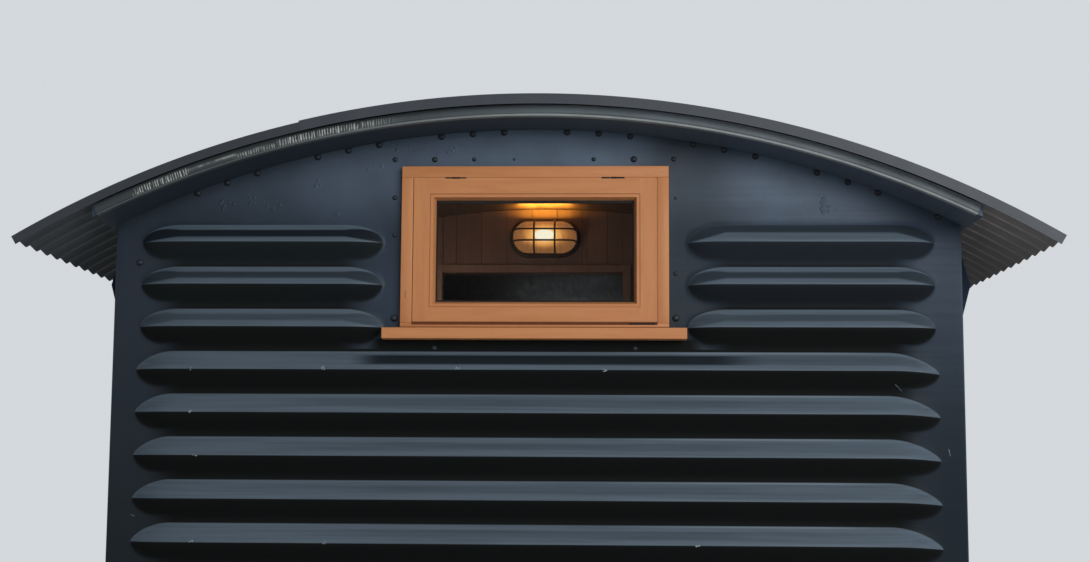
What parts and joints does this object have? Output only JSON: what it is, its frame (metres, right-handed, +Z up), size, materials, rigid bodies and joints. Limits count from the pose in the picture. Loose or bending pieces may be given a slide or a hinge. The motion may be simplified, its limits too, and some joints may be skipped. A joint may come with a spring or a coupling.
{
  "type": "railway van body tiny house",
  "caption": "Railway goods van body made into a tiny house: ribbed steel ends, bowed corrugated roof and a small timber window in each end.",
  "frame": {"origin": "on the ground under the middle of the body", "axes": "+Z up, +Y along the van from the pictured end to the far end, +X to the right of that end"},
  "size_m": [2.8994, 5.7186, 2.7249],
  "materials": {
    "navy_steel": "satin",
    "navy_boards": "painted satin",
    "roof_sheet": "satin",
    "capping_metal": "satin",
    "trim_metal": "worn",
    "deck_board": "matte",
    "window_timber": "satin varnish",
    "window_glass": "clear",
    "inner_lining": "satin",
    "floor_timber": "matte",
    "base_steel": "matte",
    "sleeper_timber": "matte",
    "lamp_body": "matte",
    "lamp_lens": "frosted"
  },
  "bodies": {
    "root": {"back_barge_capping": "capping_metal", "back_end_lining": "inner_lining", "back_end_sheet": "navy_steel", "back_verge_trim": "trim_metal", "back_window_frame": "window_timber", "back_window_glass": "window_glass", "back_window_sash": "window_timber", "back_window_sill": "window_timber", "body_knees": "base_steel", "cantrails": "navy_boards", "ceiling_lining": "inner_lining", "corner_posts": "navy_steel", "cross_bearers": "base_steel", "doorway_architrave": "inner_lining", "eave_brackets": "navy_steel", "floor_boards": "floor_timber", "front_barge_capping": "capping_metal", "front_end_lining": "inner_lining", "front_end_sheet": "navy_steel", "front_verge_trim": "trim_metal", "front_window_frame": "window_timber", "front_window_glass": "window_glass", "front_window_sash": "window_timber", "front_window_sill": "window_timber", "headstocks": "base_steel", "lamp_base": "lamp_body", "lamp_glass": "lamp_lens", "lamp_guard": "lamp_body", "left_door_back_leaf": "navy_boards", "left_door_front_leaf": "navy_boards", "left_door_hardware": "navy_steel", "left_side_framing": "navy_steel", "left_side_panels": "navy_boards", "partition_header": "inner_lining", "partition_walls": "inner_lining", "right_door_back_leaf": "navy_boards", "right_door_front_leaf": "navy_boards", "right_door_hardware": "navy_steel", "right_side_framing": "navy_steel", "right_side_panels": "navy_boards", "roof_deck": "deck_board", "roof_sheets": "roof_sheet", "sleepers": "sleeper_timber", "solebars": "base_steel"}
  },
  "joints": []
}
